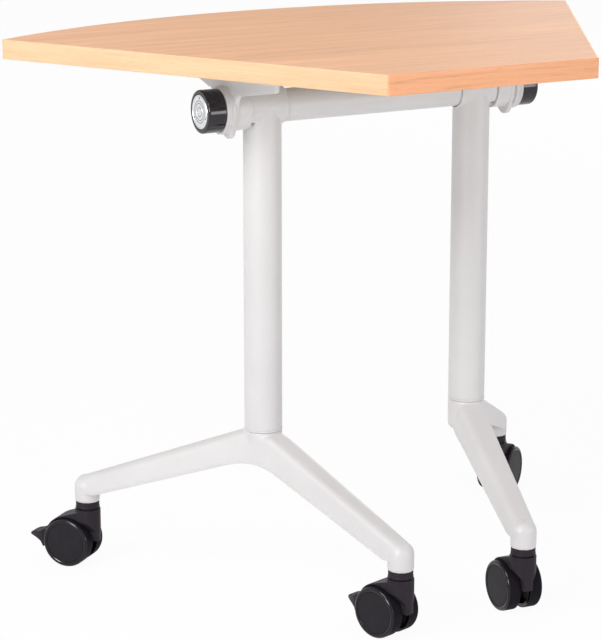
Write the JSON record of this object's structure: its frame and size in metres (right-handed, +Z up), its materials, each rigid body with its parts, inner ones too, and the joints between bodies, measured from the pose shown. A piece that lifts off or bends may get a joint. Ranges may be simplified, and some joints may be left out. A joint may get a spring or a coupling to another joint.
{
  "type": "folding corner desk",
  "caption": "Segment-shaped corner desk: beech top that flips up about a cross beam held by round columns on cast V feet with braked twin-wheel casters.",
  "frame": {"origin": "on the floor under the middle of the table top, which is also the vertical plane of the pivot axis and the columns", "axes": "+X right along the pivot axis, +Y from the short straight edge to the long curved edge, +Z up"},
  "size_m": [0.857, 0.6042, 0.72],
  "materials": {
    "beech_laminate": "satin beech grain laminate",
    "edge_band": "satin beech edge banding, lighter than the face",
    "powder_coat": "fine light grey powder coat",
    "black_plastic": "satin black moulded nylon",
    "black_gloss_plastic": "polished black",
    "brushed_disc": "finely turned satin disc",
    "zinc_steel": "zinc plated",
    "grey_nylon": "natural moulded nylon"
  },
  "bodies": {
    "frame": {"cross_beam": "powder_coat", "left_head_casting": "powder_coat", "left_pivot_spindle": "zinc_steel", "left_friction_washer": "grey_nylon", "left_column": "powder_coat", "left_column_ring": "powder_coat", "left_foot_bolt": "zinc_steel", "left_foot_casting": "powder_coat", "right_head_casting": "powder_coat", "right_pivot_spindle": "zinc_steel", "right_friction_washer": "grey_nylon", "right_column": "powder_coat", "right_column_ring": "powder_coat", "right_foot_bolt": "zinc_steel", "right_foot_casting": "powder_coat", "left_rear_caster_stem": "black_plastic", "left_front_caster_stem": "black_plastic", "right_front_caster_stem": "black_plastic", "right_rear_caster_stem": "black_plastic"},
    "top": {"tabletop_board": "beech_laminate", "outer_edge_band": "edge_band", "inner_edge_band": "edge_band", "left_edge_band": "edge_band", "right_edge_band": "edge_band", "left_top_bracket": "powder_coat", "left_bracket_screw_1": "zinc_steel", "left_bracket_screw_2": "zinc_steel", "left_bracket_screw_3": "zinc_steel", "left_bracket_screw_4": "zinc_steel", "left_pivot_bush": "grey_nylon", "right_top_bracket": "powder_coat", "right_bracket_screw_1": "zinc_steel", "right_bracket_screw_2": "zinc_steel", "right_bracket_screw_3": "zinc_steel", "right_bracket_screw_4": "zinc_steel", "right_pivot_bush": "grey_nylon"},
    "left_knob": {"left_clamp_knob": "black_gloss_plastic", "left_knob_disc": "brushed_disc"},
    "right_knob": {"right_clamp_knob": "black_gloss_plastic", "right_knob_disc": "brushed_disc"},
    "left_rear_caster": {"left_rear_caster_hood": "black_plastic", "left_rear_caster_axle": "zinc_steel"},
    "left_rear_wheel_a": {"left_rear_wheel_a": "black_plastic"},
    "left_rear_wheel_b": {"left_rear_wheel_b": "black_plastic"},
    "left_rear_pedal": {"left_rear_brake_pedal": "black_plastic"},
    "left_front_caster": {"left_front_caster_hood": "black_plastic", "left_front_caster_axle": "zinc_steel"},
    "left_front_wheel_a": {"left_front_wheel_a": "black_plastic"},
    "left_front_wheel_b": {"left_front_wheel_b": "black_plastic"},
    "left_front_pedal": {"left_front_brake_pedal": "black_plastic"},
    "right_front_caster": {"right_front_caster_hood": "black_plastic", "right_front_caster_axle": "zinc_steel"},
    "right_front_wheel_a": {"right_front_wheel_a": "black_plastic"},
    "right_front_wheel_b": {"right_front_wheel_b": "black_plastic"},
    "right_front_pedal": {"right_front_brake_pedal": "black_plastic"},
    "right_rear_caster": {"right_rear_caster_hood": "black_plastic", "right_rear_caster_axle": "zinc_steel"},
    "right_rear_wheel_a": {"right_rear_wheel_a": "black_plastic"},
    "right_rear_wheel_b": {"right_rear_wheel_b": "black_plastic"},
    "right_rear_pedal": {"right_rear_brake_pedal": "black_plastic"}
  },
  "joints": [
    {"name": "top_flip", "type": "hinge", "parent": "frame", "child": "top", "pos_m": [0, 0, 0.64], "axis": [1, 0, 0], "range_deg": [0, 90]},
    {"name": "left_knob_turn", "type": "hinge", "parent": "frame", "child": "left_knob", "pos_m": [-0.23, 0, 0.64], "axis": [-1, 0, 0], "range_deg": [0, 90]},
    {"name": "right_knob_turn", "type": "hinge", "parent": "frame", "child": "right_knob", "pos_m": [0.23, 0, 0.64], "axis": [1, 0, 0], "range_deg": [0, 90]},
    {"name": "left_rear_swivel", "type": "hinge", "parent": "frame", "child": "left_rear_caster", "pos_m": [-0.32463, 0.18906, 0.07], "axis": [0, 0, 1], "continuous": true},
    {"name": "left_rear_wheel_a_spin", "type": "hinge", "parent": "left_rear_caster", "child": "left_rear_wheel_a", "pos_m": [-0.33941, 0.20667, 0.033], "axis": [-0.766, -0.6428, 0], "continuous": true},
    {"name": "left_rear_wheel_b_spin", "type": "hinge", "parent": "left_rear_caster", "child": "left_rear_wheel_b", "pos_m": [-0.33941, 0.20667, 0.033], "axis": [-0.766, -0.6428, 0], "continuous": true},
    {"name": "left_rear_brake", "type": "hinge", "parent": "left_rear_caster", "child": "left_rear_pedal", "pos_m": [-0.33941, 0.20667, 0.033], "axis": [-0.766, -0.6428, 0], "range_deg": [0, 8]},
    {"name": "left_front_swivel", "type": "hinge", "parent": "frame", "child": "left_front_caster", "pos_m": [-0.09055, -0.24569, 0.07], "axis": [0, 0, 1], "continuous": true},
    {"name": "left_front_wheel_a_spin", "type": "hinge", "parent": "left_front_caster", "child": "left_front_wheel_a", "pos_m": [-0.09765, -0.22381, 0.033], "axis": [-0.9511, -0.309, 0], "continuous": true},
    {"name": "left_front_wheel_b_spin", "type": "hinge", "parent": "left_front_caster", "child": "left_front_wheel_b", "pos_m": [-0.09765, -0.22381, 0.033], "axis": [-0.9511, -0.309, 0], "continuous": true},
    {"name": "left_front_brake", "type": "hinge", "parent": "left_front_caster", "child": "left_front_pedal", "pos_m": [-0.09765, -0.22381, 0.033], "axis": [-0.9511, -0.309, 0], "range_deg": [0, 8]},
    {"name": "right_front_swivel", "type": "hinge", "parent": "frame", "child": "right_front_caster", "pos_m": [0.09055, -0.24569, 0.07], "axis": [0, 0, 1], "continuous": true},
    {"name": "right_front_wheel_a_spin", "type": "hinge", "parent": "right_front_caster", "child": "right_front_wheel_a", "pos_m": [0.09215, -0.22274, 0.033], "axis": [-0.9976, 0.0698, 0], "continuous": true},
    {"name": "right_front_wheel_b_spin", "type": "hinge", "parent": "right_front_caster", "child": "right_front_wheel_b", "pos_m": [0.09215, -0.22274, 0.033], "axis": [-0.9976, 0.0698, 0], "continuous": true},
    {"name": "right_front_brake", "type": "hinge", "parent": "right_front_caster", "child": "right_front_pedal", "pos_m": [0.09215, -0.22274, 0.033], "axis": [-0.9976, 0.0698, 0], "range_deg": [0, 8]},
    {"name": "right_rear_swivel", "type": "hinge", "parent": "frame", "child": "right_rear_caster", "pos_m": [0.32463, 0.18906, 0.07], "axis": [0, 0, 1], "continuous": true},
    {"name": "right_rear_wheel_a_spin", "type": "hinge", "parent": "right_rear_caster", "child": "right_rear_wheel_a", "pos_m": [0.34275, 0.20322, 0.033], "axis": [-0.6157, 0.788, 0], "continuous": true},
    {"name": "right_rear_wheel_b_spin", "type": "hinge", "parent": "right_rear_caster", "child": "right_rear_wheel_b", "pos_m": [0.34275, 0.20322, 0.033], "axis": [-0.6157, 0.788, 0], "continuous": true},
    {"name": "right_rear_brake", "type": "hinge", "parent": "right_rear_caster", "child": "right_rear_pedal", "pos_m": [0.34275, 0.20322, 0.033], "axis": [-0.6157, 0.788, 0], "range_deg": [0, 8]}
  ]
}
